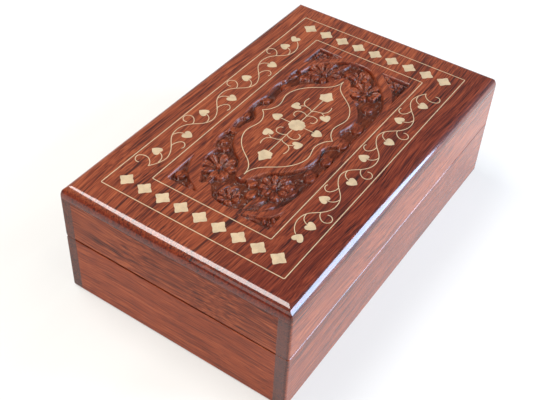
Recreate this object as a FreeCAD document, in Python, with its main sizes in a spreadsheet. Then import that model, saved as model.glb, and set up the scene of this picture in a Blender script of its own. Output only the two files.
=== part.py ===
import FreeCAD, Part
import Sketcher
import math
import os
import re

# A wooden card box with a hinged lid, inlaid with brass. X runs along the long side, the lid opens
# from the front (-Y), +Z is up, and the origin is the middle of the underside.

V = FreeCAD.Vector
Rotation = FreeCAD.Rotation

SIZES = {
    # whole box
    "box_length": 203, "box_width": 127, "box_height": 66,
    # base and lid meet at the seam, where the end boards' rims stand back a little
    "seam_height": 35.4, "rim_gap": 0.3, "end_rim_drop": 0.35,
    # boards
    "wall_thick": 6.5, "top_thick": 6.6, "bottom_thick": 4, "rebate_width": 3,
    "corner_round": 1.6, "top_round": 5.6, "foot_round": 1.4, "edge_ease": 0.2,
    # hinges, whose pins lie in a groove along the rear seam
    "hinge_offset": 62, "hinge_length": 20, "pin_inset": 1.5, "pin_radius": 0.75,
    "groove_height": 2, "knuckle_radius": 1.5, "knuckle_length": 6.4, "knuckle_gap": 0.4,
    "knuckle_clear": 0.3, "running_clear": 0.05, "fixed_clear": 0.01,
    "hinge_leaf_width": 4.5, "hinge_leaf_thick": 0.8,
    "screw_inset": 3.1, "screw_offset": 6.5, "screw_radius": 0.8, "screw_head_radius": 1.2,
    "screw_length": 5, "screw_point": 1.2, "slot_width": 0.35, "slot_depth": 0.3,
    # lining
    "pad_thick": 1.2, "pad_gap": 0.3, "pad_rim_drop": 1,
    # inlay
    "inlay_depth": 1, "wire_width": 0.42, "stem_width": 0.4,
    "outer_border_x": 87.2, "outer_border_y": 50.2, "outer_border_round": 0.6,
    "inner_border_x": 71.5, "inner_border_y": 33, "inner_border_round": 0.6,
    "diamond_x": 79, "diamond_pitch": 10.45, "diamond_half_x": 4.2, "diamond_half_y": 4.1,
    "diamond_notch": 0.35, "heart_width": 5.4, "heart_height": 5, "rosette_radius": 3.8,
    "pattern_shift_x": 1.3, "pattern_shift_y": 0.8,
    # carving
    "carve_depth": 2.6, "carve_half_x": 67, "carve_half_y": 28, "carve_corner": 2,
    "island_offset": 3.3, "flower_x": 46, "flower_y": 15.5, "flower_radius": 8,
    "petal_radius": 2.4, "petal_height": 2.1, "carved_leaf_x": 59, "carved_leaf_y": 23,
    "carved_leaf_length": 9, "carved_leaf_half_width": 2,
}

DIAMONDS = 9
ROSETTE_LOBES = 8
FLOWER_PETALS = 8
CURVE_SAMPLES = 5

# The vine in one period, from one crest of its stem to the next: x from the crest, y on the lid.
VINE_PITCH = 36
VINE_STEM = ((0, -35.7), (5, -36.9), (9.4, -41.4), (13.5, -44.4), (17.5, -45.1), (23, -43.7),
             (29, -39), (33, -36.6))
VINE_START = ((-8.5, -39.8), (-4.5, -36.7))
VINE_END = ((4.5, -36.3), (9.8, -39.2))
VINE_END_CURL = ((9.6, -39.1), (6.2, -41.2), (5, -44.5), (7, -47.8), (9.7, -46.9), (10.2, -44.3))
VINE_LOW_CURL = ((9.6, -41.7), (6.3, -43.2), (4.9, -46.2), (6.9, -48.5), (9.6, -47.3), (9.8, -44.9))
VINE_HIGH_CURL = ((29.4, -38.8), (25.2, -39), (23, -36.5), (24.5, -34.4), (27, -34.5))
VINE_LOW_STALK = ((5, -36.9), (1.1, -38), (-0.8, -41.6))
VINE_HIGH_STALK = ((21.5, -44.2), (18.8, -42.8), (17.6, -40))
VINE_LOW_HEART = (-0.8, -43)
VINE_HIGH_HEART = (17.6, -38)
VINE_START_HEART = (-9.6, -42)

# Each strip's first crest, its own pitch and its shift in y; the rear one is the front one turned round.
VINES = (("front", Rotation(), (-54, 36, 0)), ("rear", Rotation(V(0, 0, 1), 180), (-54.7, 36.9, -1)))

# The ogee frame, one quarter, from its upper cusp to its right tip.
OGEE = ((0, 20.7), (3.4, 17.7), (9, 16.1), (17, 17.8), (25.3, 15.6), (31.5, 10.2), (35.5, 5), (45.3, 0))

# The spray in the middle, one quarter.
SPRAY_CURL = ((8.8, 0), (10.5, 2.9), (9.7, 5.8), (7.2, 6.4), (5.5, 4.4))
SPRAY_BRANCH = ((13.3, 0), (15.2, 2.7), (15.8, 5), (17.6, 6.8), (20, 7.2), (22.3, 6.7))
SPRAY_STALK = ((15.7, 4.7), (14.3, 7.2))
SPRAY_HEART = (12.7, 8.9)
SPRAY_END_HEART = 12.1
SPRAY_BUD = 28.7
BUD = ((4.6, 0), (0.9, 2.6), (-0.2, 3.9), (-1.2, 3.2), (-3.6, 2.4), (-3.9, 0))

doc = FreeCAD.newDocument("card_box")
sheet = doc.addObject("Spreadsheet::Sheet", "sheet")
for row, (alias, value) in enumerate(SIZES.items(), start=1):
    sheet.set("A%d" % row, alias)
    sheet.set("B%d" % row, str(value))
    sheet.setAlias("B%d" % row, alias)
doc.recompute()

nodes = []


def node(obj, label):
    obj.Label = label
    nodes.append(obj)
    return obj


def size(expression):
    """The value of an expression written in the sheet's aliases."""
    return float(sheet.evalExpression(expression))


def bound(expression):
    """The same expression as another object refers to it."""
    return re.sub(r"[a-z_]{2,}", lambda word: "sheet." + word.group(), expression)


def bind(obj, **expressions):
    """Bind properties to the sheet; x, y and z are the placement's."""
    for name, expression in expressions.items():
        path = "Placement.Base." + name if name in "xyz" else name
        obj.setExpression(path, bound(expression))
    return obj


# ------------------------------------------------------------------ boards, as bodies with sketches

def origin_plane(body, role):
    return next(f for f in body.Origin.OriginFeatures if f.Role == role)


def new_sketch(body, name, role, offset=None):
    sketch = body.newObject("Sketcher::SketchObject", name)
    sketch.AttachmentSupport = [(origin_plane(body, role), "")]
    sketch.MapMode = "FlatFace"
    if offset:
        sketch.setExpression("AttachmentOffset.Base.z", bound(offset))
    return sketch


def hold_point(sketch, geometry, point, x, y):
    """Fix a point of the sketch at two expressions; a plain 0 puts it on the axis."""
    for kind, expression, axis in (("DistanceX", x, -2), ("DistanceY", y, -1)):
        if expression == "0":
            sketch.addConstraint(Sketcher.Constraint("PointOnObject", geometry, point, axis))
            continue
        held = Sketcher.Constraint(kind, -1, 1, geometry, point, size(expression))
        index = sketch.addConstraint(held)
        sketch.setExpression("Constraints[%d]" % index, bound(expression))


def polygon(sketch, corners):
    """A closed outline of straight lines, each corner given as two expressions."""
    points = [V(size(x), size(y), 0) for x, y in corners]
    lines = [Part.LineSegment(a, b) for a, b in zip(points, points[1:] + points[:1])]
    first = sketch.addGeometry(lines, False)[0]
    for side, (x, y) in enumerate(corners):
        following = first + (side + 1) % len(corners)
        sketch.addConstraint(Sketcher.Constraint("Coincident", first + side, 2, following, 1))
        hold_point(sketch, first + side, 1, x, y)


def rectangle(sketch, left, bottom, right, top):
    polygon(sketch, ((left, bottom), (right, bottom), (right, top), (left, top)))


def circle(sketch, x, y, radius):
    shape = Part.Circle(V(size(x), size(y), 0), V(0, 0, 1), size(radius))
    index = sketch.addGeometry(shape, False)
    hold_point(sketch, index, 3, x, y)
    held = sketch.addConstraint(Sketcher.Constraint("Radius", index, size(radius)))
    sketch.setExpression("Constraints[%d]" % held, bound(radius))


def feature(body, kind, name, sketch, length, **settings):
    made = body.newObject("PartDesign::" + kind, name)
    made.Profile = sketch
    for key, value in settings.items():
        setattr(made, key, value)
    made.setExpression("Length", bound(length))
    return made


def dress(body, kind, name, amount, chosen):
    """Round or bevel the edges of the body whose middles the test chooses."""
    doc.recompute()
    edges = ["Edge%d" % (i + 1) for i, e in enumerate(body.Shape.Edges) if chosen(e.CenterOfMass)]
    before = body.Tip
    made = body.newObject("PartDesign::" + kind, name)
    made.Base = (before, edges)
    made.setExpression("Radius" if kind == "Fillet" else "Size", bound(amount))


def near(a, b):
    return abs(a - b) < 1e-4


def board(label, length, width, height):
    """A flat board with its middle on the origin and its underside at z = 0."""
    body = node(doc.addObject("PartDesign::Body", label), label)
    outline = new_sketch(body, label + "_outline", "XY_Plane")
    rectangle(outline, "-(%s) / 2" % length, "-(%s) / 2" % width, "(%s) / 2" % length, "(%s) / 2" % width)
    feature(body, "Pad", label + "_pad", outline, height)
    return body


def hinge_cuts(body, label, height):
    """The pin's groove along the rim, and the two hinges' mortises, hollows and pilot holes."""
    groove = new_sketch(body, label + "_groove_profile", "YZ_Plane")
    foot = "%s - groove_height" % height
    polygon(groove, (("pin_inset", height), ("-pin_inset", height), ("-pin_inset", foot), ("0", foot)))
    feature(body, "Pocket", label + "_groove", groove, "2 * box_length", SideType="Symmetric")

    hollow = new_sketch(body, label + "_hollow_profile", "YZ_Plane", "hinge_offset")
    circle(hollow, "pin_inset", "%s + rim_gap / 2" % height, "knuckle_radius + knuckle_clear")
    hollow_cut = feature(body, "Pocket", label + "_hollow", hollow, "hinge_length + 2 * knuckle_clear",
                         SideType="Symmetric")

    mortise = new_sketch(body, label + "_mortise_outline", "XY_Plane", height)
    rectangle(mortise, "hinge_offset - hinge_length / 2", "pin_inset",
              "hinge_offset + hinge_length / 2", "pin_inset + hinge_leaf_width")
    mortise_cut = feature(body, "Pocket", label + "_mortise", mortise, "hinge_leaf_thick")

    pilots = new_sketch(body, label + "_pilot_circles", "XY_Plane", "%s - hinge_leaf_thick" % height)
    for side in "-+":
        circle(pilots, "hinge_offset %s screw_offset" % side, "pin_inset + screw_inset", "screw_radius")
    pilot_cut = feature(body, "Pocket", label + "_pilots", pilots, "screw_length")

    doc.recompute()
    one_hinge = body.Shape.Volume
    mirrored = body.newObject("PartDesign::Mirrored", label + "_second_hinge")
    mirrored.Originals = [hollow_cut, mortise_cut, pilot_cut]
    mirrored.MirrorPlane = (origin_plane(body, "YZ_Plane"), [""])
    body.Tip = mirrored
    doc.recompute()
    assert body.Shape.Volume < one_hinge - 1


def wall(label, length, height, turned, at, corners=False, foot=False, hinged=False):
    """A wall with its outer face at y = 0 and its rim up, then turned and put in its place."""
    body = node(doc.addObject("PartDesign::Body", label), label)
    outline = new_sketch(body, label + "_outline", "XY_Plane")
    half = "(%s) / 2" % length
    rectangle(outline, "-" + half, "0", half, "wall_thick")
    feature(body, "Pad", label + "_pad", outline, height)
    rim, inner, end = size(height), size("wall_thick"), size(half)
    if corners:
        dress(body, "Fillet", label + "_corners", "corner_round",
              lambda p: near(abs(p.x), end) and near(p.y, 0) and near(p.z, rim / 2))
    if foot:
        dress(body, "Fillet", label + "_foot", "foot_round",
              lambda p: near(p.z, 0) and p.y < inner - 1e-3 and (corners or near(p.y, 0)))
        rebate = new_sketch(body, label + "_rebate_outline", "XY_Plane")
        stop = "box_length / 2 - wall_thick + rebate_width" if corners else half
        rectangle(rebate, "-(%s)" % stop, "wall_thick - rebate_width", stop, "wall_thick")
        feature(body, "Pocket", label + "_rebate", rebate, "bottom_thick", Reversed=True)
    if hinged:
        hinge_cuts(body, label, height)
    else:
        dress(body, "Chamfer", label + "_ease", "edge_ease",
              lambda p: near(p.z, rim) and p.y < inner - 1e-3 and (corners or near(p.y, 0)))
    body.Placement = FreeCAD.Placement(V(), turned)
    return bind(body, **at)


BASE_RIM = "seam_height - rim_gap / 2"
LID_RIM = "box_height - top_thick - seam_height - rim_gap / 2"
BETWEEN = "box_width - 2 * wall_thick"


def facing(x_axis, y_axis, z_axis):
    return Rotation(V(*x_axis), V(*y_axis), V(*z_axis), "ZYX")


def walls(body_name, rim, z, up, foot):
    """Two long walls and the two end walls between them; the lid's stand on their heads."""
    across = (up, 0, 0)
    front_at = {"y": "-box_width / 2", "z": z}
    rear_at = {"y": "box_width / 2", "z": z}
    wall(body_name + "_front_wall", "box_length", rim, facing(across, (0, 1, 0), (0, 0, up)), front_at,
         corners=True, foot=foot)
    wall(body_name + "_rear_wall", "box_length", rim, facing((-up, 0, 0), (0, -1, 0), (0, 0, up)),
         rear_at, corners=True, foot=foot, hinged=True)
    for side, sign in (("left", 1), ("right", -1)):
        end_at = {"x": "%d * box_length / 2" % -sign, "z": z}
        wall("%s_%s_wall" % (body_name, side), BETWEEN, rim + " - end_rim_drop",
             facing((0, -sign * up, 0), (sign, 0, 0), (0, 0, up)), end_at, foot=foot)


# ------------------------------------------------------------------ hinges, from primitives

def primitive(kind, name, turned=None, **expressions):
    obj = doc.addObject("Part::" + kind, name)
    if turned:
        obj.Placement = FreeCAD.Placement(V(), turned)
    return bind(obj, **expressions)


ALONG_X = Rotation(V(0, 1, 0), 90)
UPSIDE_DOWN = Rotation(V(1, 0, 0), 180)
REAR = Rotation(V(0, 0, 1), 180)


def rod(name, start, length, radius):
    """A cylinder on the hinge's pin line."""
    return primitive("Cylinder", name, ALONG_X, Radius=radius, Height=length, x=start)


def fused(name, parts):
    obj = doc.addObject("Part::MultiFuse", name)
    obj.Shapes = parts
    return obj


def cut(name, base, tools):
    obj = doc.addObject("Part::Cut", name)
    obj.Base = base
    obj.Tool = tools[0] if len(tools) == 1 else fused(name + "_tools", tools)
    return obj


def screw(name, x, y, seat, direction):
    """A countersunk slotted screw with the top of its head at seat; direction -1 drives it down."""
    head = primitive("Cone", name + "_head", Radius1="screw_radius", Radius2="screw_head_radius",
                     Height="hinge_leaf_thick", z="-hinge_leaf_thick")
    shank = primitive("Cylinder", name + "_shank", Radius="screw_radius",
                      Height="screw_length - screw_point", z="screw_point - screw_length - hinge_leaf_thick")
    tip = primitive("Cone", name + "_tip", Radius1="0.2 * screw_radius", Radius2="screw_radius",
                    Height="screw_point", z="-screw_length - hinge_leaf_thick")
    slot = primitive("Box", name + "_slot", Length="4 * screw_head_radius", Width="slot_width",
                     Height="slot_depth", x="-2 * screw_head_radius", y="-slot_width / 2", z="-slot_depth")
    whole = cut(name, fused(name + "_solid", [head, shank, tip]), [slot])
    if direction > 0:
        whole.Placement = FreeCAD.Placement(V(), UPSIDE_DOWN)
    return bind(whole, x=x, y=y, z=seat)


def hinge_leaf(name, side, sign):
    """One leaf about the pin line: the base's has the two outer knuckles, the lid's the middle one."""
    underside = "rim_gap / 2" if sign > 0 else "-rim_gap / 2 - hinge_leaf_thick"
    plate = primitive("Box", name + "_plate", Length="hinge_length", Width="hinge_leaf_width",
                      Height="hinge_leaf_thick", x="-hinge_length / 2", z=underside)
    outer = "knuckle_length / 2 + knuckle_gap"
    reach = "knuckle_radius + knuckle_clear"
    tools = []
    if sign < 0:
        knuckles = [rod(name + "_knuckle_a", "-hinge_length / 2", "knuckle_length", "knuckle_radius"),
                    rod(name + "_knuckle_b", outer, "knuckle_length", "knuckle_radius")]
        tools.append(primitive("Box", name + "_notch", Length="2 * (%s)" % outer, Width=reach,
                               Height="4 * hinge_leaf_thick", x="-(%s)" % outer,
                               z="-2 * hinge_leaf_thick"))
        bore = "pin_radius + fixed_clear"
    else:
        knuckles = [rod(name + "_knuckle", "-knuckle_length / 2", "knuckle_length", "knuckle_radius")]
        for end, start in (("a", "-hinge_length / 2"), ("b", "knuckle_length / 2")):
            tools.append(primitive("Box", name + "_notch_" + end, Width=reach,
                                   Length="(hinge_length - knuckle_length) / 2",
                                   Height="4 * hinge_leaf_thick", x=start, z="-2 * hinge_leaf_thick"))
        bore = "pin_radius + running_clear"
    notched = cut(name + "_notched", plate, tools)
    solid = fused(name + "_blank", [notched] + knuckles)
    drills = [rod(name + "_bore", "-hinge_length", "2 * hinge_length", bore)]
    for index, direction in enumerate("-+"):
        countersink = primitive("Cone", "%s_countersink_%d" % (name, index), Radius1="screw_radius",
                                Radius2="screw_head_radius", Height="hinge_leaf_thick",
                                x=direction + "screw_offset", y="screw_inset", z=underside)
        if sign > 0:
            countersink.Placement = FreeCAD.Placement(V(), UPSIDE_DOWN)
            bind(countersink, z="rim_gap / 2 + hinge_leaf_thick")
        drills.append(countersink)
    return node(hung(cut(name, solid, drills), side), name)


def hung(obj, side):
    """Put a piece made about the pin line on its hinge's place at the rear seam."""
    obj.Placement = FreeCAD.Placement(V(), REAR)
    return bind(obj, x="%d * hinge_offset" % side, y="box_width / 2 - pin_inset", z="seam_height")


def hinge(name, side):
    hinge_leaf(name + "_base_leaf", side, -1)
    hinge_leaf(name + "_lid_leaf", side, 1)
    shaft = rod(name + "_pin_shaft", "-hinge_length / 2", "hinge_length", "pin_radius")
    peen = primitive("Cone", name + "_pin_peen", ALONG_X, Radius1="pin_radius + knuckle_clear",
                     Radius2="pin_radius", Height="knuckle_clear", x="hinge_length / 2")
    node(hung(fused(name + "_pin", [shaft, peen]), side), name + "_pin")
    for part, sign, seat in (("base", -1, "-rim_gap / 2"), ("lid", 1, "rim_gap / 2")):
        label = "%s_%s_screws" % (name, part)
        pair = doc.addObject("Part::Compound", label)
        pair.Links = [screw("%s_%d" % (label, index), direction + "screw_offset", "screw_inset", seat, sign)
                      for index, direction in enumerate("-+")]
        node(hung(pair, side), label)


# ------------------------------------------------------------------ lining

def pad(label, length, width, height, x="0", y="0", z="0"):
    """A padded card, centred on x and y, standing on z."""
    made = primitive("Box", label, Length=length, Width=width, Height=height,
                     x="%s - (%s) / 2" % (x, length), y="%s - (%s) / 2" % (y, width), z=z)
    return node(made, label)


def lining(body_name, flat_side, flat_z, side_z, side_height):
    """A card on the floor or ceiling and one on each wall."""
    inner_x = "box_length - 2 * wall_thick"
    label = body_name + "_%s_lining"
    pad(label % flat_side, "%s - 2 * pad_gap" % inner_x, "%s - 2 * pad_gap" % BETWEEN, "pad_thick",
        z=flat_z)
    for side, sign in (("front", -1), ("rear", 1)):
        pad(label % side, "%s - 2 * pad_gap" % inner_x, "pad_thick", side_height,
            y="%d * (%s - pad_thick) / 2" % (sign, BETWEEN), z=side_z)
    for side, sign in (("left", -1), ("right", 1)):
        pad(label % side, "pad_thick", "%s - 2 * pad_thick - 2 * pad_gap" % BETWEEN, side_height,
            x="%d * (%s - pad_thick) / 2" % (sign, inner_x), z=side_z)


# ------------------------------------------------------------------ inlay, from plane outlines

def smooth(points):
    curve = Part.BSplineCurve()
    curve.interpolate([V(x, y, 0) for x, y in points])
    return curve


def beside(curve, distance, count):
    """Points at a distance to the left of a curve."""
    found = []
    for step in range(count):
        at = curve.FirstParameter + (curve.LastParameter - curve.FirstParameter) * step / (count - 1)
        along = curve.tangent(at)[0]
        point = curve.value(at)
        found.append((point.x - along.y * distance, point.y + along.x * distance))
    return found


def closed_face(curves):
    return Part.Face(Part.Wire(Part.__sortEdges__([c.toShape() for c in curves])))


def straight(a, b):
    return Part.LineSegment(V(a[0], a[1], 0), V(b[0], b[1], 0))


def stroke(points, width):
    """A band of one width along a smooth curve through the points."""
    middle = smooth(points)
    count = CURVE_SAMPLES * len(points)
    left = beside(middle, width / 2, count)
    right = beside(middle, -width / 2, count)
    return closed_face([smooth(left), straight(left[-1], right[-1]), smooth(right),
                        straight(right[0], left[0])])


def arc_outline(points, bulge):
    """A closed outline of shallow arcs between the points, swelling outward by bulge."""
    curves = []
    for (ax, ay), (bx, by) in zip(points, points[1:] + points[:1]):
        reach = math.hypot(bx - ax, by - ay)
        middle = V((ax + bx) / 2 + (by - ay) * bulge / reach, (ay + by) / 2 - (bx - ax) * bulge / reach, 0)
        curves.append(Part.Arc(V(ax, ay, 0), middle, V(bx, by, 0)))
    return closed_face(curves)


def rounded_rectangle(half_x, half_y, corner):
    face = Part.Face(Part.makePolygon([V(-half_x, -half_y, 0), V(half_x, -half_y, 0), V(half_x, half_y, 0),
                                       V(-half_x, half_y, 0), V(-half_x, -half_y, 0)]))
    solid = face.extrude(V(0, 0, 1))
    upright = [e for e in solid.Edges if abs(e.tangentAt(e.FirstParameter).z) > 0.5]
    rounded = solid.makeFillet(corner, upright)
    return next(f for f in rounded.Faces if f.normalAt(0, 0).z < -0.5)


def border(half_x, half_y, corner):
    """A rectangular ring of wire, its line centred on the half sizes."""
    half = size("wire_width") / 2
    outer = rounded_rectangle(half_x + half, half_y + half, corner + half)
    return outer.cut(rounded_rectangle(half_x - half, half_y - half, corner - half))


def heart(x, y, tip_angle):
    """A heart centred on x, y, its tip pointing along the angle in degrees."""
    half, tall = size("heart_width") / 2, size("heart_height")
    notch, tip = V(0, 0.24 * tall, 0), V(0, -0.5 * tall, 0)
    curves = []
    for sign in (-1, 1):
        shoulder = V(sign * half, 0.14 * tall, 0)
        curves.append(Part.Arc(notch, V(sign * half * 0.6, 0.5 * tall, 0), shoulder))
        curves.append(Part.Arc(shoulder, V(sign * half * 0.66, -0.2 * tall, 0), tip))
    face = closed_face(curves)
    face.Placement = FreeCAD.Placement(V(x, y, 0), Rotation(V(0, 0, 1), tip_angle + 90))
    return face


def mirrored(points, sign_x, sign_y):
    return [(sign_x * x, sign_y * y) for x, y in points]


QUARTERS = ((1, 1), (-1, 1), (-1, -1), (1, -1))


def let_in(faces):
    """Solids of the inlay's depth on the faces, joined where they touch."""
    solids = [face.extrude(V(0, 0, size("inlay_depth"))) for face in faces]
    joined = solids[0].multiFuse(solids[1:]) if len(solids) > 1 else solids[0]
    return joined.removeSplitter()


def inlay(label, shape, turned=None, x=0, y=0):
    """A piece of the lid's inlay, flush with the lid's top."""
    obj = doc.addObject("Part::Feature", label)
    obj.Shape = shape
    obj.Placement = FreeCAD.Placement(V(x, y, size("box_height - inlay_depth")), turned or Rotation())
    return node(obj, label)


def diamonds(sign):
    half_x, half_y, notch = size("diamond_half_x"), size("diamond_half_y"), size("diamond_notch")
    outline = []
    for sign_x, sign_y in QUARTERS:
        corner = (sign_x * half_x, 0) if sign_x * sign_y > 0 else (0, sign_y * half_y)
        dent = (sign_x * (half_x - notch) / 2, sign_y * (half_y - notch) / 2)
        outline += [corner, dent]
    faces = []
    for index in range(DIAMONDS):
        face = arc_outline(outline, notch / 2)
        face.translate(V(sign * size("diamond_x"), (index - (DIAMONDS - 1) / 2) * size("diamond_pitch"), 0))
        faces.append(face)
    return let_in(faces)


def vine(first_crest, pitch, offset):
    """A strip's stem with its curls, and its hearts; the hearts cut the stalks' ends."""
    def placed(points, crest):
        return [(crest + x * pitch / VINE_PITCH, y + offset) for x, y in points]

    def placed_heart(point, crest, tip_angle):
        return heart(*placed([point], crest)[0], tip_angle)

    crests = [first_crest + pitch * k for k in range(4)]
    stem = placed(VINE_START, crests[0])
    for crest in crests[:-1]:
        stem += placed(VINE_STEM, crest)
    stem += placed(VINE_STEM[:1] + VINE_END, crests[-1])
    strokes = [stem, placed(VINE_END_CURL, crests[-1])]
    hearts = [placed_heart(VINE_START_HEART, crests[0], 0)]
    for crest in crests:
        strokes.append(placed(VINE_LOW_STALK, crest))
        hearts.append(placed_heart(VINE_LOW_HEART, crest, -90))
    for crest in crests[:-1]:
        for branch in (VINE_LOW_CURL, VINE_HIGH_CURL, VINE_HIGH_STALK):
            strokes.append(placed(branch, crest))
        hearts.append(placed_heart(VINE_HIGH_HEART, crest, 90))
    heart_solids = let_in(hearts)
    stems = let_in([stroke(points, size("stem_width")) for points in strokes])
    return stems.cut(heart_solids), heart_solids


def island_outline():
    """The ogee moved outward by the island's offset, rounded past its cusps and tips."""
    offset = size("island_offset")
    quarter = [(0, OGEE[0][1] + offset)] + beside(smooth(OGEE), offset, 2 * len(OGEE))
    quarter.append((OGEE[-1][0] + offset, 0))
    return closed_face([smooth(mirrored(quarter, *signs)) for signs in QUARTERS])


def spray():
    """The spray inside the ogee: rosette, stems, hearts and buds, as four groups of solids."""
    radius = size("rosette_radius")
    lobes = [2 * math.pi * k / ROSETTE_LOBES for k in range(ROSETTE_LOBES)]
    rosette = let_in([arc_outline([(radius * math.cos(a), radius * math.sin(a)) for a in lobes], 0.85)])
    hearts = let_in([heart(sx * SPRAY_HEART[0], sy * SPRAY_HEART[1], math.degrees(math.atan2(sy, -sx)))
                     for sx, sy in QUARTERS]
                    + [heart(0, sy * SPRAY_END_HEART, 90 * sy) for sy in (1, -1)])
    buds = []
    for sign in (1, -1):
        half = [(sign * (SPRAY_BUD + x), y) for x, y in BUD]
        outline = half + [(x, -y) for x, y in half[-2:0:-1]]
        buds.append(arc_outline(outline if sign > 0 else outline[::-1], 0.1))
    buds = let_in(buds)
    strokes = [stroke(mirrored(points, *signs), size("stem_width"))
               for signs in QUARTERS for points in (SPRAY_CURL, SPRAY_BRANCH, SPRAY_STALK)]
    half = size("stem_width") / 2
    for reach_x, reach_y in ((SPRAY_BUD, half), (half, SPRAY_END_HEART)):
        bar = [V(-reach_x, -reach_y, 0), V(reach_x, -reach_y, 0), V(reach_x, reach_y, 0),
               V(-reach_x, reach_y, 0), V(-reach_x, -reach_y, 0)]
        strokes.append(Part.Face(Part.makePolygon(bar)))
    stems = let_in(strokes).cut([rosette, hearts, buds])
    return {"rosette": rosette, "hearts": hearts, "buds": buds, "stems": stems}


def inlays():
    """Every inlay piece of the lid."""
    shift = {"x": size("pattern_shift_x"), "y": size("pattern_shift_y")}
    made = [
        inlay("outer_border_wire", let_in([border(size("outer_border_x"), size("outer_border_y"),
                                                  size("outer_border_round"))])),
        inlay("inner_border_wire", let_in([border(size("inner_border_x"), size("inner_border_y"),
                                                  size("inner_border_round"))])),
        inlay("left_diamonds", diamonds(-1)),
        inlay("right_diamonds", diamonds(1)),
    ]
    for side, turned, layout in VINES:
        stems, hearts = vine(*layout)
        made.append(inlay(side + "_vine_wire", stems, turned))
        made.append(inlay(side + "_vine_hearts", hearts, turned))
    ogee = [stroke(mirrored(OGEE, *signs), size("wire_width")) for signs in QUARTERS]
    made.append(inlay("cartouche_wire", let_in(ogee), **shift))
    for name, shape in spray().items():
        made.append(inlay("medallion_" + name, shape, **shift))
    return made


# ------------------------------------------------------------------ carved lid board

def carved_ground():
    """The sunk field round the flush ogee island."""
    depth = size("carve_depth")
    field = rounded_rectangle(size("carve_half_x"), size("carve_half_y"), size("carve_corner"))
    island = island_outline()
    island.translate(V(size("pattern_shift_x"), size("pattern_shift_y"), 0))
    obj = doc.addObject("Part::Feature", "carved_ground")
    obj.Shape = field.cut(island).extrude(V(0, 0, depth))
    obj.Placement.Base.z = size("box_height") - depth
    return obj


def carved_flowers():
    """A flower and a corner leaf in each quarter of the sunk field."""
    tall, petal = size("petal_height"), size("petal_radius")
    ring = size("flower_radius") - petal
    length, half = size("carved_leaf_length"), size("carved_leaf_half_width")
    solids = []
    for sign_x, sign_y in QUARTERS:
        centre = V(sign_x * size("flower_x"), sign_y * size("flower_y"), 0)
        petals = [Part.makeCylinder(petal / 2, tall, centre)]
        for index in range(FLOWER_PETALS):
            angle = 2 * math.pi * index / FLOWER_PETALS
            at = centre + V(ring * math.cos(angle), ring * math.sin(angle), 0)
            petals.append(Part.makeCylinder(petal, tall, at))
        solids.append(petals[0].multiFuse(petals[1:]))
        leaf = closed_face([Part.Arc(V(-length / 2, 0, 0), V(0, side * half, 0), V(length / 2, 0, 0))
                            for side in (-1, 1)]).extrude(V(0, 0, tall))
        angle = math.degrees(math.atan2(sign_y, -sign_x))
        leaf.Placement = FreeCAD.Placement(
            V(sign_x * size("carved_leaf_x"), sign_y * size("carved_leaf_y"), 0),
            Rotation(V(0, 0, 1), angle))
        solids.append(leaf)
    obj = doc.addObject("Part::Feature", "carved_flowers")
    obj.Shape = Part.makeCompound(solids)
    obj.Placement.Base.z = size("box_height - carve_depth")
    return obj


def slab(label):
    """A board of the lid top's size, which only shapes the lid's top."""
    body = board(label, "box_length", "box_width", "top_thick")
    nodes.remove(body)
    return body


def top_board(pieces):
    """The lid's top: its thumb edge meets in mitres, cut back by the box's own corner radius."""
    end, side, tall = size("box_length / 2"), size("box_width / 2"), size("top_thick")
    mitred = slab("mitred_board")
    dress(mitred, "Fillet", "mitred_board_round", "top_round", lambda p: near(p.z, tall))
    outline = slab("outline_board")
    dress(outline, "Fillet", "outline_board_corners", "corner_round",
          lambda p: near(abs(p.x), end) and near(abs(p.y), side))
    dress(outline, "Chamfer", "outline_board_ease", "edge_ease", lambda p: near(p.z, 0))
    for body in (mitred, outline):
        bind(body, z="box_height - top_thick")
    rounded = doc.addObject("Part::Common", "rounded_board")
    rounded.Base = mitred
    rounded.Tool = outline
    tools = doc.addObject("Part::Compound", "inlay_grooves")
    tools.Links = pieces
    sunk = cut("sunk_board", rounded, [carved_ground()])
    carved = fused("carved_board", [sunk, carved_flowers()])
    node(cut("lid_top_panel", carved, [tools]), "lid_top_panel")


# ------------------------------------------------------------------ the whole box

walls("base", BASE_RIM, "0", 1, foot=True)
board("base_bottom_panel", "box_length - 2 * wall_thick + 2 * rebate_width",
      "box_width - 2 * wall_thick + 2 * rebate_width", "bottom_thick")
walls("lid", LID_RIM, "box_height - top_thick", -1, foot=False)
top_board(inlays())
hinge("left_hinge", -1)
hinge("right_hinge", 1)
lining("base", "floor", "bottom_thick", "bottom_thick + pad_thick + pad_gap",
       BASE_RIM + " - end_rim_drop - pad_rim_drop - bottom_thick - pad_thick - pad_gap")
lining("lid", "ceiling", "box_height - top_thick - pad_thick",
       "seam_height + rim_gap / 2 + end_rim_drop + pad_rim_drop",
       LID_RIM + " - end_rim_drop - pad_rim_drop - pad_thick - pad_gap")

doc.recompute()

for obj in doc.Objects:
    if {"Invalid", "Error"} & set(obj.State):
        raise RuntimeError("%s failed: %s" % (obj.Label, obj.State))
for obj in nodes:
    if obj.Shape.isNull() or not obj.Shape.isValid():
        raise RuntimeError("%s has no valid shape" % obj.Label)

os.makedirs("parts", exist_ok=True)
for obj in nodes:
    obj.Shape.exportStep(os.path.join("parts", obj.Label + ".step"))
    print("%-28s %2d solids %10.2f mm3" % (obj.Label, len(obj.Shape.Solids), obj.Shape.Volume))
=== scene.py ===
"""A hinged wooden card box with a carved and brass-inlaid lid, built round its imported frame."""
import math

import bmesh
import bpy
import numpy as np
from mathutils import Euler, Matrix, Vector, noise


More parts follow.
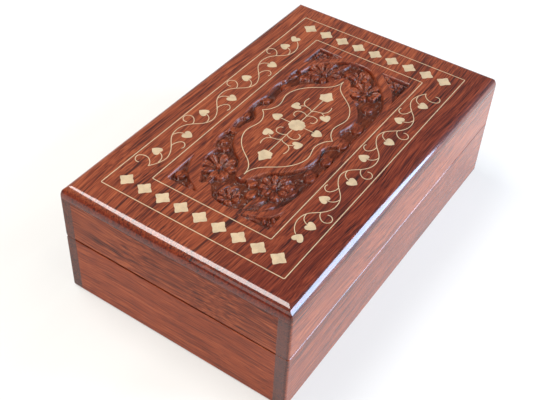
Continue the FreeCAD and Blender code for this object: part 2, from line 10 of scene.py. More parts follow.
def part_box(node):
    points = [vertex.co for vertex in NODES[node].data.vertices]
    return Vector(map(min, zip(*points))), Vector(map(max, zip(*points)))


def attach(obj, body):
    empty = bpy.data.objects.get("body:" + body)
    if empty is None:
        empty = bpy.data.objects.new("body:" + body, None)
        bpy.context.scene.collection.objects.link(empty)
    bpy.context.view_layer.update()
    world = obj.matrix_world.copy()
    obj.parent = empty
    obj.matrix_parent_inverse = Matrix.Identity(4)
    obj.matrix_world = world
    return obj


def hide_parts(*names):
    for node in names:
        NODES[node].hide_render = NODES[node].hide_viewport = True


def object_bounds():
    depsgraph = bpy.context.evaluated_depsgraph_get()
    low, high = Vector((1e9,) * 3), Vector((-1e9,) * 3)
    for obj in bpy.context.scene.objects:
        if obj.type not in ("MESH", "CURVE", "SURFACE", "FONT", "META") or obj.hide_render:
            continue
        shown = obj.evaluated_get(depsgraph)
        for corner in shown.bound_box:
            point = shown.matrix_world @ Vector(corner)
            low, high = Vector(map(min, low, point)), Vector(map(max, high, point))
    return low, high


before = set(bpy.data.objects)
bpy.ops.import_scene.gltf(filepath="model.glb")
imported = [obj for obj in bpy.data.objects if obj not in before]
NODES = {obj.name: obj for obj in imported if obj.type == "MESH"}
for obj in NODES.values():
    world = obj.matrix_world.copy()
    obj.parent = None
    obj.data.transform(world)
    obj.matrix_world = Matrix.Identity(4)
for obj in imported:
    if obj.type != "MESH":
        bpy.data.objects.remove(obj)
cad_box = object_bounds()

MM = 0.001
(BOX_LOW, BOX_HIGH) = (Vector(corner) for corner in cad_box)


# ------------------------------------------------------------------ camera

CAMERA_AZIMUTH = -57.77
CAMERA_ELEVATION = 43.35
CAMERA_ROLL = 2.96
CAMERA_LENS = 61.4
CAMERA_TARGET = Vector((-52.3, -17.5, 66.0)) * MM
CAMERA_DISTANCE = 410.2 * MM


def direction(azimuth, elevation):
    """Unit vector from the object towards a viewpoint; azimuth 0 is in front, at -Y."""
    a, e = math.radians(azimuth), math.radians(elevation)
    return Vector((math.sin(a) * math.cos(e), -math.cos(a) * math.cos(e), math.sin(e)))


def aim(obj, position, target, roll=0.0):
    turned = (target - position).to_track_quat("-Z", "Y").to_matrix().to_4x4()
    obj.matrix_world = Matrix.Translation(position) @ turned @ Matrix.Rotation(math.radians(roll), 4, "Z")


def make_camera():
    data = bpy.data.cameras.new("camera")
    data.lens = CAMERA_LENS
    data.clip_start = 0.01
    camera = bpy.data.objects.new("camera", data)
    bpy.context.scene.collection.objects.link(camera)
    back = direction(CAMERA_AZIMUTH, CAMERA_ELEVATION)
    aim(camera, CAMERA_TARGET + back * CAMERA_DISTANCE, CAMERA_TARGET, CAMERA_ROLL)
    bpy.context.scene.camera = camera


# ------------------------------------------------------------------ floor and light

def softbox(name, azimuth, elevation, distance, width, height, watts, colour):
    data = bpy.data.lights.new(name, "AREA")
    data.shape = "RECTANGLE"
    data.size, data.size_y = width, height
    data.energy = watts
    data.color = colour
    light = bpy.data.objects.new(name, data)
    bpy.context.scene.collection.objects.link(light)
    centre = (BOX_LOW + BOX_HIGH) / 2
    aim(light, centre + direction(azimuth, elevation) * distance, centre)


def make_studio():
    world = bpy.data.worlds.new("studio")
    world.use_nodes = True
    background = world.node_tree.nodes["Background"]
    background.inputs["Color"].default_value = (0.93, 0.96, 1.0, 1.0)
    background.inputs["Strength"].default_value = 0.25
    bpy.context.scene.world = world
    softbox("window", 34, 20, 1.5, 0.75, 1.0, 50, (0.50, 0.70, 1.0))
    softbox("key", 10, 60, 1.8, 1.2, 0.9, 14, (1.0, 0.90, 0.78))
    softbox("overhead", -161, 65, 1.5, 0.9, 0.7, 26, (1.0, 0.98, 0.95))
    softbox("fill", -95, 30, 1.8, 1.2, 0.8, 6, (1.0, 0.95, 0.90))
    bpy.context.scene.view_settings.view_transform = "Standard"


FLOOR_HALF = 6.0


def make_floor():
    mesh = bpy.data.meshes.new("floor")
    corners = [(x * FLOOR_HALF, y * FLOOR_HALF, 0) for x, y in ((-1, -1), (1, -1), (1, 1), (-1, 1))]
    mesh.from_pydata(corners, [], [(0, 1, 2, 3)])
    floor = bpy.data.objects.new("floor", mesh)
    bpy.context.scene.collection.objects.link(floor)
    floor.data.materials.append(floor_material())


# ------------------------------------------------------------------ materials

class Shader:
    """A node material under construction, with short calls for the nodes used here."""

    def __init__(self, name):
        self.material = bpy.data.materials.new(name)
        self.material.use_nodes = True
        self.tree = self.material.node_tree
        self.surface = self.tree.nodes["Principled BSDF"]

    def add(self, kind, inputs=None, **settings):
        made = self.tree.nodes.new("ShaderNode" + kind)
        for key, value in settings.items():
            setattr(made, key, value)
        for key, value in (inputs or {}).items():
            self.feed(made.inputs[key], value)
        return made

    def feed(self, socket, value):
        if isinstance(value, bpy.types.NodeSocket):
            self.tree.links.new(value, socket)
        elif isinstance(value, bpy.types.Node):
            self.tree.links.new(value.outputs[0], socket)
        else:
            socket.default_value = value

    def set(self, **values):
        for key, value in values.items():
            self.feed(self.surface.inputs[key.replace("_", " ")], value)

    def place(self, offset=(0, 0, 0), scale=(1, 1, 1), turn=(0, 0, 0)):
        """Object coordinates, shifted, turned and scaled."""
        at = self.add("TexCoord").outputs["Object"]
        return self.add("Mapping", {"Vector": at, "Location": offset, "Rotation": turn, "Scale": scale})

    def noise(self, vector, scale, detail=2.0, roughness=0.5, distortion=0.0):
        made = self.add("TexNoise", {"Vector": vector, "Scale": scale, "Detail": detail,
                                     "Roughness": roughness, "Distortion": distortion})
        return made.outputs["Fac"]

    def ramp(self, value, stops, smooth=True):
        made = self.add("ValToRGB", {"Fac": value})
        made.color_ramp.interpolation = "EASE" if smooth else "LINEAR"
        elements = made.color_ramp.elements
        while len(elements) < len(stops):
            elements.new(0.5)
        for element, (place, colour) in zip(elements, stops):
            element.position = place
            shade = colour if isinstance(colour, tuple) else (colour, colour, colour)
            element.color = (*shade, 1.0)
        return made.outputs["Color"]

    def mix(self, factor, a, b, blend="MIX"):
        made = self.add("Mix", data_type="RGBA", blend_type=blend)
        self.feed(made.inputs[0], factor)
        self.feed(made.inputs[6], a if not isinstance(a, tuple) else (*a, 1.0))
        self.feed(made.inputs[7], b if not isinstance(b, tuple) else (*b, 1.0))
        return made.outputs[2]

    def math(self, operation, a, b=0.0, c=None):
        made = self.add("Math", operation=operation)
        self.feed(made.inputs[0], a)
        self.feed(made.inputs[1], b)
        if c is not None:
            self.feed(made.inputs[2], c)
        return made.outputs[0]

    def bump(self, height, strength, distance, below=None):
        inputs = {"Height": height, "Strength": strength, "Distance": distance}
        if below:
            inputs["Normal"] = below
        return self.add("Bump", inputs).outputs["Normal"]


WOOD_PALE = (0.44, 0.105, 0.036)
WOOD_RED = (0.245, 0.044, 0.0145)
WOOD_BROWN = (0.095, 0.017, 0.008)
WOOD_BLACK = (0.018, 0.006, 0.005)
END_GRAIN = (0.42, 0.36, 0.34)
# Tint of the painted shade on the front half of the lid's top.
FRONT_SHADE = (0.66, 0.48, 0.52)


def wood_material(name, seed, along="X", lift=1.0, streaks=0.7, contrast=1.0, coat=0.6, gloss=0.08,
                  end=END_GRAIN, front_shade_span=None, shade_below=None):
    """Varnished rosewood: solid grain along one axis, so that end grain shows by itself.

    lift brightens the board, streaks blackens its dark lines, contrast widens its figure, gloss is
    the varnish's roughness, end tints the end grain, front_shade_span is the two y between which
    the board's upward faces turn from painted shade to their own colour, and shade_below is a
    height under which painted shade darkens the board the deeper it lies.
    """
    wood = Shader(name)
    stretch = (0.028, 1.0, 1.0) if along == "X" else (1.0, 0.028, 1.0)
    spot = wood.place(offset=(0.37 * seed, 0.91 * seed, 0.53 * seed))
    wave = wood.add("TexNoise", {"Vector": spot, "Scale": 10.0, "Detail": 1.0})
    swing = wood.add("VectorMath", {0: wave.outputs["Color"], 1: (0.5, 0.5, 0.5)}, operation="SUBTRACT")
    scaled = wood.add("VectorMath", {0: swing, 1: (0.014, 0.014, 0.014)}, operation="MULTIPLY")
    bent = wood.add("VectorMath", {0: spot, 1: scaled}, operation="ADD")
    grain = wood.add("VectorMath", {0: bent, 1: stretch}, operation="MULTIPLY").outputs[0]

    broad = wood.noise(grain, 60.0, 1.0)
    bands = wood.noise(grain, 260.0, 2.0, 0.5, 0.2)
    lines = wood.noise(grain, 1150.0, 1.5, 0.6)
    fibres = wood.noise(grain, 2800.0, 1.5, 0.6)
    pores = wood.noise(grain, 3200.0, 1.0)
    patches = wood.noise(bent.outputs[0], 24.0, 1.0)

    figure = 0.5
    for layer, share in ((broad, 0.5), (bands, 0.5), (lines, 1.2), (fibres, 1.4)):
        figure = wood.math("MULTIPLY_ADD", wood.math("SUBTRACT", layer, 0.5), share * contrast, figure)
    body = wood.ramp(figure, ((0.20, WOOD_BROWN), (0.50, WOOD_RED), (0.85, WOOD_PALE)), smooth=False)
    dark = wood.ramp(wood.math("MULTIPLY_ADD", lines, 0.6, wood.math("MULTIPLY", bands, 0.4)),
                     ((0.37, 1.0), (0.45, 0.0)))
    dark = wood.math("MULTIPLY", dark, wood.ramp(patches, ((0.42, 0.15 * streaks), (0.62, streaks))))
    body = wood.mix(dark, body, WOOD_BLACK)
    pitted = wood.ramp(pores, ((0.32, 1.0), (0.38, 0.0)))
    body = wood.mix(wood.math("MULTIPLY", pitted, 0.4), body, WOOD_BLACK)
    body = wood.mix(1.0, body, (lift, lift, lift), "MULTIPLY")

    at = wood.add("SeparateXYZ", {0: wood.add("TexCoord").outputs["Object"]})
    facing = wood.add("SeparateXYZ", {0: wood.add("TexCoord").outputs["Normal"]})
    # Painted shade: upward faces darken towards the front, with full tint at the first y and none at the
    # second.
    if front_shade_span is not None:
        skewed = wood.math("MULTIPLY_ADD", at.outputs["X"], 0.13, at.outputs["Y"])
        skewed = wood.math("MULTIPLY_ADD", wood.math("SUBTRACT", patches, 0.5), 0.03, skewed)
        shade_fade = wood.math("DIVIDE", wood.math("SUBTRACT", skewed, front_shade_span[0]), front_shade_span[1] - front_shade_span[0])
        tint = wood.ramp(shade_fade, ((0.0, FRONT_SHADE), (1.0, (1.0, 1.0, 1.0))))
        body = wood.mix(wood.ramp(facing.outputs["Z"], ((0.2, 0.0), (0.8, 1.0))), body,
                        wood.mix(1.0, body, tint, "MULTIPLY"))

    ends = wood.ramp(wood.math("ABSOLUTE", facing.outputs[along]), ((0.55, 0.0), (0.85, 1.0)))
    body = wood.mix(ends, body, wood.mix(1.0, body, end, "MULTIPLY"))
    # Painted shade in the recesses: faces below the given height darken the deeper they lie.
    if shade_below is not None:
        depth = wood.math("DIVIDE", wood.math("SUBTRACT", shade_below, at.outputs["Z"]), GROUND_DEPTH * MM)
        recess_shade = wood.ramp(depth, ((0.10, 1.0), (0.40, 0.85), (0.95, 0.42)))
        body = wood.mix(1.0, body, recess_shade, "MULTIPLY")

    rubbed = wood.noise(spot, 120.0, 3.0)
    wood.set(Base_Color=body, Roughness=wood.ramp(fibres, ((0.2, 0.45), (0.8, 0.6))))
    wood.surface.inputs["IOR"].default_value = 1.5
    wood.surface.inputs["Specular IOR Level"].default_value = 0.06
    wood.surface.inputs["Coat Weight"].default_value = coat
    wood.surface.inputs["Coat IOR"].default_value = 1.55
    wood.surface.inputs["Coat Roughness"].default_value = gloss
    ridged = wood.bump(fibres, 0.3, 0.00005)
    dimpled = wood.bump(pitted, 0.5, -0.00005, ridged)
    wood.set(Normal=wood.bump(rubbed, 0.15, 0.00008, dimpled))
    return wood.material


def brass_material(name, colour=(0.58, 0.455, 0.30), roughness=0.74):
    """Soft worn brass: hand-sanded scratches, faint tarnish and a little unevenness."""
    brass = Shader(name)
    spot = brass.place()
    drawn = brass.place(turn=(0, 0, 0.5), scale=(0.15, 1, 1))
    scratches = brass.noise(drawn, 5200.0, 2.0, 0.6)
    clouds = brass.noise(spot, 260.0, 3.0)
    dents = brass.noise(spot, 900.0, 2.0)
    tone = brass.mix(brass.ramp(clouds, ((0.35, 0.0), (0.75, 0.55))), colour, tuple(0.72 * c for c in colour))
    worn = brass.ramp(scratches, ((0.2, roughness - 0.06), (0.8, roughness + 0.12)))
    brass.set(Base_Color=tone, Roughness=worn)
    brass.surface.inputs["Metallic"].default_value = 1.0
    fine = brass.bump(scratches, 0.25, 0.00002)
    brass.set(Normal=brass.bump(dents, 0.35, 0.00008, fine))
    return brass.material


def velvet_material(name):
    """Dark red velvet with a pile that leans in patches."""
    velvet = Shader(name)
    spot = velvet.place()
    pile = velvet.noise(spot, 2600.0, 2.0, 0.7)
    brushed = velvet.noise(spot, 26.0, 2.0, 0.5)
    shade = velvet.ramp(brushed, ((0.3, (0.13, 0.005, 0.012)), (0.7, (0.185, 0.008, 0.018))))
    shade = velvet.mix(0.5, shade, velvet.ramp(pile, ((0.25, 0.15), (0.75, 1.0))), "MULTIPLY")
    velvet.set(Base_Color=shade)
    velvet.surface.inputs["Roughness"].default_value = 0.92
    velvet.surface.inputs["Specular IOR Level"].default_value = 0.2
    velvet.surface.inputs["Sheen Weight"].default_value = 0.45
    velvet.surface.inputs["Sheen Roughness"].default_value = 0.35
    velvet.surface.inputs["Sheen Tint"].default_value = (0.95, 0.35, 0.38, 1.0)
    napped = velvet.bump(pile, 0.7, 0.0002)
    velvet.set(Normal=velvet.bump(brushed, 0.3, 0.0006, napped))
    return velvet.material


def floor_material():
    """Pale matt painted board with a little light of its own, so that shadows stay soft."""
    floor = Shader("floor")
    spot = floor.place(scale=(0.2, 1, 1))
    tone = floor.ramp(floor.noise(spot, 30.0, 3.0), ((0.3, (0.29, 0.29, 0.287)), (0.7, (0.31, 0.31, 0.307))))
    floor.set(Base_Color=tone)
    floor.surface.inputs["Roughness"].default_value = 0.6
    floor.surface.inputs["Emission Color"].default_value = (1.0, 0.98, 0.94, 1.0)
    floor.surface.inputs["Emission Strength"].default_value = 0.51
    floor.set(Normal=floor.bump(floor.noise(spot, 240.0, 3.0), 0.1, 0.0002))
    return floor.material


# ------------------------------------------------------------------ pieces

def new_object(name, mesh):
    obj = bpy.data.objects.new(name, mesh)
    bpy.context.scene.collection.objects.link(obj)
    return obj


def box_mm(node):
    low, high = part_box(node)
    return Vector(low) / MM, Vector(high) / MM


# ---------------------------------------- the carved lid board

CORNER_ROUND = 1.6
TOP_ROUND = 5.6
EDGE_EASE = 0.2
CARVE_STEP = 0.31
CARVE_HALF = (68.5, 29.9)
GROUND_DEPTH = 2.6
EDGE_BEVEL = 0.8
PROUD = 0.05
PATTERN_CENTRE = (1.3, 0.8)
ISLAND_MARGIN = 3.3
# Faces that reach further below the top than this take the carving's own finish, with its painted shade in
# the recesses.
CARVED_BELOW = 0.15

# One quarter of the ogee wire that the flush middle of the lid follows, from the pattern's centre.
OGEE = ((0, 20.7), (3.4, 17.7), (9, 16.1), (17, 17.8), (25.3, 15.6), (31.5, 10.2), (35.5, 5), (45.3, 0))

# The sunk areas' outlines in millimetres on the lid; a point given twice is a sharp corner.
RING_POCKET = (
    (-60.8, 14.2), (-57, 16.8), (-52, 20), (-48, 22.1), (-44, 23.1), (-40, 23.2), (-37, 22.4),
    (-35.6, 21.4), (-35.6, 21.4), (-36.6, 24.6), (-36.6, 24.6), (-33, 25.9), (-29, 27), (-25, 27.1),
    (-22.4, 25.9), (-22.4, 25.9), (-16, 27.3), (-12, 27.6), (-9.2, 26.8), (-9.2, 26.8), (-6.5, 27.4),
    (-1, 28.3), (5, 28.5), (10, 27.6), (10, 27.6), (13, 27.2), (18, 28.1), (23, 28.5), (27.8, 27.6),
    (27.8, 27.6), (30, 26.7), (34, 27.4), (38, 27.6), (42.5, 26.7), (42.5, 26.7), (41.3, 24.3),
    (41.3, 24.3), (45, 23.8), (50, 22.6), (55, 19.4), (59, 15.6), (62.4, 11.5), (64.6, 7.5), (65.6, 3),
    (65.6, -2), (64.3, -6.5), (61.5, -10), (57, -14.6), (52, -19.4), (47, -23.2), (42.5, -25.8),
    (38, -27.4), (30, -28.6), (15, -28.7), (0, -28.8), (-15, -28.7), (-30, -28.3), (-38, -28.2),
    (-45, -27.4), (-50, -26.4), (-55, -23.8), (-59.5, -20.4), (-62, -16.5), (-64.5, -11.5),
    (-66.2, -7), (-66.6, -2), (-66, 2), (-64.8, 4.8), (-64.8, 4.8), (-61, 8), (-58, 10.6), (-58, 10.6))
CORNER_POCKETS = (
    ((-67.4, 28.5), (-67.4, 28.5), (-55, 28.7), (-43.2, 28.5), (-43.2, 28.5), (-48, 26.9), (-53, 25.2),
     (-57.5, 22.6), (-61, 19), (-64, 13.6), (-66.8, 10.2), (-66.8, 10.2)),
    ((66.2, 27.6), (66.2, 27.6), (60.5, 27.9), (46, 28), (46, 28), (50, 26.2), (55, 22.8), (59.5, 18.8),
     (63, 14.8), (65.8, 12.2), (65.8, 12.2)),
    ((-67.6, -10.4), (-67.6, -10.4), (-65, -15.5), (-63, -20.5), (-60.6, -24.2), (-56, -27),
     (-50, -28.7), (-50, -28.7), (-60, -28.9), (-67.6, -28.9), (-67.6, -28.9)),
    ((66.3, -11), (66.3, -11), (66.4, -28.5), (66.4, -28.5), (55, -28.8), (42, -29), (42, -29),
     (47.5, -27), (53, -24.2), (58, -19.8), (62.5, -14.6)))

# Centre, radius, petals and turn.
FLOWERS = (
    ((-45.5, 14.2), 8.6, 8, 0.25), ((-42.0, -15.0), 7.6, 8, 0.55), ((48.2, 13.6), 9.0, 9, 0.1),
    ((47.0, -12.2), 8.2, 8, 0.3), ((-59.4, -1.6), 5.6, 6, 0.5), ((56.4, -3.6), 4.9, 6, 0.2),
    ((-62.2, -25.6), 2.9, 4, 0.78), ((60.2, -23.0), 3.8, 5, 0.4), ((60.6, 23.0), 3.2, 5, 0.9))

# Base, tip and width. A shell leaf is round and tall at its tip, a blade leaf is pointed.
SHELL_LEAVES = (
    ((-54.2, 25.6), (-63.4, 24.6), 5.6), ((-29.4, 21.0), (-35.4, 18.2), 4.6),
    ((-46.4, 10.6), (-53.4, 8.8), 4.8), ((-38.6, 9.8), (-46.4, 7.4), 5.8),
    ((-46, -8.4), (-55.6, -9.2), 5.6), ((-40.5, -5.2), (-48.6, -5.2), 5.4),
    ((-43.6, -20.2), (-49.8, -18.0), 4.6), ((-33, -20.4), (-40.6, -20.6), 4.8),
    ((43.2, 20.8), (35.9, 20.4), 5.0), ((49.6, 6.4), (42.6, 7.2), 4.6), ((60.2, 4.4), (52.6, 1.8), 4.8),
    ((42.6, -19.4), (31.6, -21.2), 6.0), ((50.6, -17.2), (44.8, -18.8), 4.6),
    ((45.6, -5.4), (40.6, -7.6), 4.0), ((38.8, -14.8), (35.4, -11.2), 3.6),
    ((-12.6, 24.0), (-21.8, 23.6), 5.0), ((-0.6, 26.6), (-8.8, 25.2), 3.0),
    ((15.4, 24.0), (7.4, 25.2), 4.2), ((31.6, 23.6), (22.8, 23.4), 5.2),
    ((-24.8, 23.4), (-31.4, 22.6), 4.4))
BLADE_LEAVES = (
    ((-49.6, 12.6), (-59.2, 12.2), 3.6), ((-50.2, 4.2), (-62.4, 5.0), 4.4),
    ((-50.4, -1.8), (-57.4, 2.4), 3.0), ((-48.6, -15.4), (-62.6, -11.2), 4.6),
    ((-49.8, -21.2), (-61.2, -17.2), 4.4), ((-36.4, -24.2), (-46.4, -23.2), 3.4),
    ((-31.2, -18.0), (-38.6, -15.8), 3.2), ((-63.2, -23.6), (-66.6, -13.6), 2.8),
    ((-62.4, 20.6), (-66.4, 13.2), 2.8), ((54.6, 10.4), (64.2, 6.2), 4.0),
    ((55.4, 16.6), (60.8, 12.6), 3.4), ((58.6, -8.4), (63.6, -2.6), 3.6),
    ((52.6, -16.4), (60.2, -10.4), 3.6), ((62.6, -20.2), (65.2, -13.6), 2.8),
    ((57.4, -25.6), (47.4, -28), 2.6), ((57.8, 23.4), (49.2, 27.0), 2.8),
    ((63.2, 20.4), (65.0, 14.4), 2.6), ((40.6, 25.0), (33.0, 25.8), 2.4),
    ((-52.6, 26.4), (-46, 27.9), 1.8), ((36.6, 16.6), (42.0, 19.6), 2.6))
FRONT_LEAF_PLACES = (-27.0, -12.5, 2.5, 17.0)


def smoothstep(edge0, edge1, value):
    t = np.clip((value - edge0) / (edge1 - edge0), 0.0, 1.0)
    return t * t * (3 - 2 * t)


def through(points, per_span=6):
    """Points on a closed Catmull-Rom curve through a few given ones."""
    known = [np.array(p, float) for p in points]
    count = len(known)
    found = []
    for index in range(count):
        a, b, c, d = (known[(index + k) % count] for k in (-1, 0, 1, 2))
        if np.allclose(b, c):
            continue
        for step in range(per_span):
            t = step / per_span
            found.append(0.5 * (2 * b + (c - a) * t + (2 * a - 5 * b + 4 * c - d) * t * t
                                + (3 * b - a - 3 * c + d) * t ** 3))
    return np.array(found)


def island_outline():
    """The ogee wire's line round all four quarters, with its cusps kept sharp."""
    quarter = [np.array(p, float) for p in OGEE]
    right = quarter + [p * (1, -1) for p in quarter[-2::-1]]
    loop = right + [p * (-1, 1) for p in right[-2:0:-1]]
    doubled = []
    for p in loop:
        sharp = p[0] == 0 or p[1] == 0
        doubled += [p + PATTERN_CENTRE] * (2 if sharp else 1)
    return through(doubled)


class Relief:
    """Heights in millimetres below the lid's top, over a grid of lid positions."""

    def __init__(self):
        count_x = int(2 * CARVE_HALF[0] / CARVE_STEP) + 1
        count_y = int(2 * CARVE_HALF[1] / CARVE_STEP) + 1
        self.x, self.y = np.meshgrid(np.linspace(-CARVE_HALF[0], CARVE_HALF[0], count_x),
                                     np.linspace(-CARVE_HALF[1], CARVE_HALF[1], count_y), indexing="ij")
        self.inside = np.full(self.x.shape, -1e3)
        self.height = np.zeros_like(self.x)

    def grain(self, *frequencies):
        """Noise over the grid, one octave for each frequency per millimetre."""
        total = np.zeros(self.x.size)
        for index, frequency in enumerate(frequencies):
            total += [noise.noise((px * frequency, py * frequency, 7.3 * index)) / (1 + 0.6 * index)
                      for px, py in zip(self.x.ravel(), self.y.ravel())]
        return total.reshape(self.x.shape)

    def signed_distance(self, outline):
        """Distance in from an outline, negative outside it."""
        x, y = self.x, self.y
        nearest = np.full(x.shape, 1e6)
        within = np.zeros(x.shape, bool)
        for (ax, ay), (bx, by) in zip(outline, np.roll(outline, -1, axis=0)):
            dx, dy = bx - ax, by - ay
            t = np.clip(((x - ax) * dx + (y - ay) * dy) / (dx * dx + dy * dy + 1e-12), 0, 1)
            nearest = np.minimum(nearest, (x - ax - t * dx) ** 2 + (y - ay - t * dy) ** 2)
            if ay != by:
                within ^= ((ay > y) != (by > y)) & (x < (bx - ax) * (y - ay) / (by - ay) + ax)
        return np.where(within, 1, -1) * np.sqrt(nearest)

    def cut(self):
        """Sink the ground: a short bevel at every edge, then a steep wall, then ground gouged in rows."""
        ring = self.signed_distance(through(RING_POCKET))
        ring = np.minimum(ring, -self.signed_distance(island_outline()) - ISLAND_MARGIN)
        self.inside = ring
        for outline in CORNER_POCKETS:
            self.inside = np.maximum(self.inside, self.signed_distance(through(outline)))
        self.inside = self.inside + 0.06 * self.grain(0.6)
        bevel = np.clip(self.inside, 0, EDGE_BEVEL)
        wall = smoothstep(EDGE_BEVEL * 0.9, EDGE_BEVEL + 0.45, self.inside) * (GROUND_DEPTH - EDGE_BEVEL)
        deep = smoothstep(EDGE_BEVEL, EDGE_BEVEL + 0.5, self.inside)
        turn = 1.2 + 1.4 * self.grain(0.05)
        gouged = np.abs(np.sin(4.2 * (self.x * np.cos(turn) + self.y * np.sin(turn)) + 2.0 * self.grain(0.5)))
        self.height = -bevel - wall + deep * (0.6 * gouged + 0.5 * self.grain(0.12))

    def raise_to(self, window, shown, raised):
        """Lift the carved forms out of the ground, never above the pockets' rims."""
        below = self.height[window]
        roof = -0.25 * smoothstep(0.0, 1.2, self.inside[window])
        lifted = np.maximum(below, np.minimum(raised, roof))
        free = shown & (self.inside[window] > 0.35)
        self.height[window] = np.where(free, lifted, below)

    def window(self, low, high):
        span_x = np.searchsorted(self.x[:, 0], (low[0], high[0]))
        span_y = np.searchsorted(self.y[0, :], (low[1], high[1]))
        return slice(*span_x), slice(*span_y)

    def leaf(self, base, tip, width, top, foot, shell, groove=0.5):
        """A leaf or petal: flat-domed with steep sides and a grooved midrib, rising from foot to top."""
        base, tip = np.array(base, float), np.array(tip, float)
        length = float(np.hypot(*(tip - base)))
        axis = (tip - base) / length
        window = self.window(np.minimum(base, tip) - width, np.maximum(base, tip) + width)
        dx, dy = self.x[window] - base[0], self.y[window] - base[1]
        u = (dx * axis[0] + dy * axis[1]) / length
        v = (dy * axis[0] - dx * axis[1]) / (width / 2)
        place = np.clip(u, 1e-4, 1 - 1e-4)
        if shell:
            spread = np.sin(math.pi * place ** 1.9) ** 0.5
        else:
            spread = np.sin(math.pi * place ** 0.75)
        across = np.abs(v) / np.maximum(spread, 1e-3)
        body = np.clip(1 - across ** 4, 0, 1) ** 0.5
        crest = foot + (top - foot) * smoothstep(0.0, 0.75 if shell else 0.45, place)
        midrib = groove * np.exp(-(v / 0.3) ** 2) * smoothstep(1.0, 0.75, place)
        raised = -GROUND_DEPTH + (GROUND_DEPTH + crest - midrib) * body
        self.raise_to(window, (u > 0) & (u < 1) & (across < 1), raised)

    def knob(self, centre, radius, top):
        """A round knob with a dimple."""
        window = self.window(np.array(centre) - radius, np.array(centre) + radius)
        gap = np.hypot(self.x[window] - centre[0], self.y[window] - centre[1]) / radius
        raised = -GROUND_DEPTH + (GROUND_DEPTH + top) * np.clip(1 - gap ** 4, 0, 1) ** 0.5
        self.raise_to(window, gap < 1, raised - 0.6 * np.exp(-(gap / 0.4) ** 2))

    def flower(self, centre, radius, petals, turn):
        """A ring of grooved petals round a small knob."""
        for index in range(petals):
            angle = turn + 2 * math.pi * index / petals
            toward = np.array((math.cos(angle), math.sin(angle)))
            self.leaf(centre + toward * radius * 0.2, centre + toward * radius,
                      4.2 * radius / petals, -0.25, -1.3, shell=True, groove=0.6)
        self.knob(centre, radius * 0.2, -0.3)


def carve():
    """The lid's relief: pockets round a flush island, filled with flowers and leaves."""
    relief = Relief()
    relief.cut()
    for base, tip, width in BLADE_LEAVES:
        relief.leaf(base, tip, width, -0.7, -1.8, shell=False)
    for centre, radius, petals, turn in FLOWERS:
        relief.flower(np.array(centre), radius, petals, turn)
    for base, tip, width in SHELL_LEAVES:
        relief.leaf(base, tip, width, -0.3, -2.2, shell=True)
    for x in FRONT_LEAF_PLACES:
        relief.leaf((x + 8.5, -24.2), (x - 3.5, -25.2), 5.6, -0.3, -2.2, shell=True)
        relief.leaf((x + 11.5, -27.6), (x + 2.5, -27.4), 2.4, -0.8, -2.0, shell=False)
        relief.leaf((x + 6.5, -22.6), (x + 0.5, -21.4), 2.6, -0.8, -2.0, shell=False)
    return relief


def lid_board():
    """The lid's top board: a rounded slab whose top is a fine grid where it is carved."""
    low, high = box_mm("lid_top_panel")
    relief = carve()
    grid = relief.height
    rows, columns = grid.shape
    top = high.z - PROUD
    mesh = bmesh.new()
    verts = [[mesh.verts.new((relief.x[i, j] * MM, relief.y[i, j] * MM, (top + grid[i, j]) * MM))
              for j in range(columns)] for i in range(rows)]
    for i in range(rows - 1):
        for j in range(columns - 1):
            mesh.faces.new((verts[i][j], verts[i + 1][j], verts[i + 1][j + 1], verts[i][j + 1]))
    carved_faces = len(mesh.faces)
    inner = ([verts[i][0] for i in range(rows)]
             + [verts[-1][j] for j in range(1, columns)]
             + [verts[i][-1] for i in range(rows - 2, -1, -1)]
             + [verts[0][j] for j in range(columns - 2, 0, -1)])
    rings = [slab_ring(mesh, low, high, inset, z) for inset, z in slab_profile(low.z, top)]
    for upper, lower in zip(rings, rings[1:]):
        count = len(upper)
        for k in range(count):
            mesh.faces.new((upper[k], lower[k], lower[(k + 1) % count], upper[(k + 1) % count]))
    mesh.faces.new(list(reversed(rings[-1])))
    bridge_flat(mesh, inner, rings[0])
    bmesh.ops.recalc_face_normals(mesh, faces=mesh.faces)
    data = bpy.data.meshes.new("lid_board")
    mesh.to_mesh(data)
    mesh.free()
    for polygon in data.polygons:
        polygon.use_smooth = True
    board = new_object("lid_board", data)
    surface = top * MM
    # The lid board's top carries painted shade towards its front.
    look = dict(seed=1.0, lift=0.60, front_shade_span=(-0.066, 0.0), end=(0.9, 0.55, 0.36))
    data.materials.append(wood_material("lid_board_wood", coat=0.9, **look))
    # The carving's material adds painted shade that deepens with the recesses.
    data.materials.append(wood_material("lid_carving_wood", coat=0.35, gloss=0.28, shade_below=surface, **look))
    for polygon in data.polygons:
        lowest = min(data.vertices[k].co.z for k in polygon.vertices)
        if polygon.index < carved_faces and lowest < surface - CARVED_BELOW * MM:
            polygon.material_index = 1
    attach(board, "lid")
    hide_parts("lid_top_panel")


def slab_profile(bottom, top):
    """Inset and height of each ring from the flat top, round the thumb edge, to the underside."""
    profile = []
    steps = 10
    for k in range(steps + 1):
        angle = math.pi / 2 * k / steps
        profile.append((TOP_ROUND * (1 - math.sin(angle)), top - TOP_ROUND * (1 - math.cos(angle))))
    profile += [(0.0, bottom + EDGE_EASE + 0.15), (0.0, bottom + EDGE_EASE), (EDGE_EASE, bottom),
                (EDGE_EASE + 0.6, bottom)]
    return profile


def slab_ring(mesh, low, high, inset, z):
    """A rounded-rectangle loop of vertices, anticlockwise from above."""
    radius = max(CORNER_ROUND - inset, 0.05)
    steps = 8
    loop = []
    for quarter, (sx, sy) in enumerate(((1, -1), (1, 1), (-1, 1), (-1, -1))):
        cx = (high.x if sx > 0 else low.x) - sx * (inset + radius)
        cy = (high.y if sy > 0 else low.y) - sy * (inset + radius)
        for k in range(steps + 1):
            angle = math.pi / 2 * (quarter - 1 + k / steps)
            loop.append(mesh.verts.new(((cx + radius * math.cos(angle)) * MM,
                                        (cy + radius * math.sin(angle)) * MM, z * MM)))
    return loop


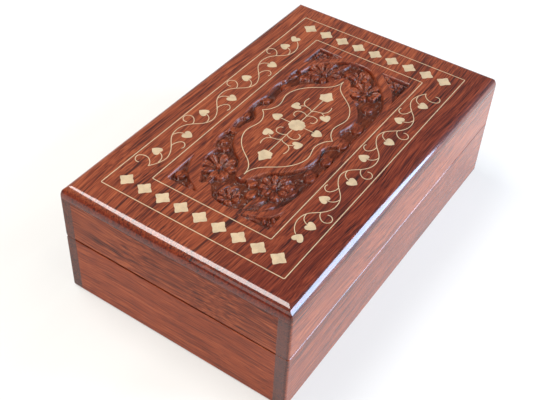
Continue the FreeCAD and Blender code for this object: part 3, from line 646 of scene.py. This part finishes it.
def bridge_flat(mesh, inner, outer):
    """Fill the flat ring between the grid's edge and the outer loop."""
    edges = [mesh.edges.get((a, b)) for a, b in zip(inner, inner[1:] + inner[:1])]
    edges += [mesh.edges.get((a, b)) for a, b in zip(outer, outer[1:] + outer[:1])]
    bmesh.ops.triangle_fill(mesh, use_beauty=True, use_dissolve=False, edges=edges, normal=(0, 0, 1))


# ---------------------------------------- the velvet lining

def padded_card(node):
    """A velvet-covered card: crowned faces and rolled edges, filling its CAD place."""
    low, high = box_mm(node)
    extent = high - low
    thin = min(range(3), key=lambda k: extent[k])
    wide = [k for k in range(3) if k != thin]
    counts = [max(4, int(extent[k] / 2.5)) for k in wide]
    mesh = bmesh.new()
    sides = []
    for side in (0, 1):
        rows = []
        for i in range(counts[0] + 1):
            row = []
            for j in range(counts[1] + 1):
                u, v = i / counts[0], j / counts[1]
                edge = min(min(u, 1 - u) * extent[wide[0]], min(v, 1 - v) * extent[wide[1]])
                swell = min(edge / 1.6, 1.0) ** 0.5
                ripple = noise.noise((i * 0.37, j * 0.37, 5.0 * thin)) * 0.10
                point = [0.0, 0.0, 0.0]
                point[wide[0]] = low[wide[0]] + u * extent[wide[0]]
                point[wide[1]] = low[wide[1]] + v * extent[wide[1]]
                depth = extent[thin] / 2 * (0.25 + (0.75 - 0.1 + ripple) * swell)
                point[thin] = (low[thin] + high[thin]) / 2 + (depth if side else -depth)
                row.append(mesh.verts.new(Vector(point) * MM))
            rows.append(row)
        sides.append(rows)
    for side, rows in enumerate(sides):
        for i in range(counts[0]):
            for j in range(counts[1]):
                mesh.faces.new((rows[i][j], rows[i + 1][j], rows[i + 1][j + 1], rows[i][j + 1]))
    for rim_a, rim_b in zip(grid_rim(sides[0]), grid_rim(sides[1])):
        for a, b, c, d in zip(rim_a, rim_a[1:], rim_b[1:], rim_b):
            mesh.faces.new((a, b, c, d))
    bmesh.ops.recalc_face_normals(mesh, faces=mesh.faces)
    data = bpy.data.meshes.new(node + "_velvet")
    mesh.to_mesh(data)
    mesh.free()
    for polygon in data.polygons:
        polygon.use_smooth = True
    return new_object(node + "_velvet", data)


def grid_rim(rows):
    """The four edges of a grid of vertices."""
    return (rows[0], rows[-1], [row[0] for row in rows], [row[-1] for row in rows])


def make_lining():
    velvet = velvet_material("velvet")
    for node in NODES:
        if not node.endswith("_lining"):
            continue
        card = padded_card(node)
        card.data.materials.append(velvet)
        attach(card, "lid" if node.startswith("lid") else "base")
        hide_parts(node)


# ---------------------------------------- materials of the carried-over nodes

BOARDS = {
    "base_front_wall": dict(seed=2.3, along="X", lift=1.1, contrast=0.7, streaks=0.4, coat=0.8),
    "base_rear_wall": dict(seed=3.1, along="X"),
    "base_left_wall": dict(seed=4.7, along="Y", lift=1.2, contrast=0.55, streaks=0.25, coat=0.3),
    "base_right_wall": dict(seed=5.2, along="Y", lift=1.05, contrast=0.8, streaks=0.5, coat=0.3),
    "base_bottom_panel": dict(seed=6.6, along="X", lift=1.1, coat=0.1),
    "lid_front_wall": dict(seed=7.4, along="X", lift=1.1, contrast=0.8, streaks=0.5, coat=0.8),
    "lid_rear_wall": dict(seed=8.9, along="X"),
    "lid_left_wall": dict(seed=9.5, along="Y", streaks=0.5, coat=0.3),
    "lid_right_wall": dict(seed=10.8, along="Y", streaks=0.6, coat=0.3),
}


def finish_nodes():
    inlay = brass_material("inlay_brass")
    fittings = brass_material("hinge_brass", colour=(0.72, 0.50, 0.22), roughness=0.3)
    for node, obj in NODES.items():
        if node in BOARDS:
            dress(obj, wood_material(node + "_wood", **BOARDS[node]))
        elif "hinge" in node:
            dress(obj, fittings)
        elif not node.endswith("_lining") and node != "lid_top_panel":
            dress(obj, inlay)


def dress(obj, material):
    for slot in obj.material_slots:
        slot.material = material


# ------------------------------------------------------------------ the scene

make_camera()
make_studio()
make_floor()
lid_board()
make_lining()
finish_nodes()
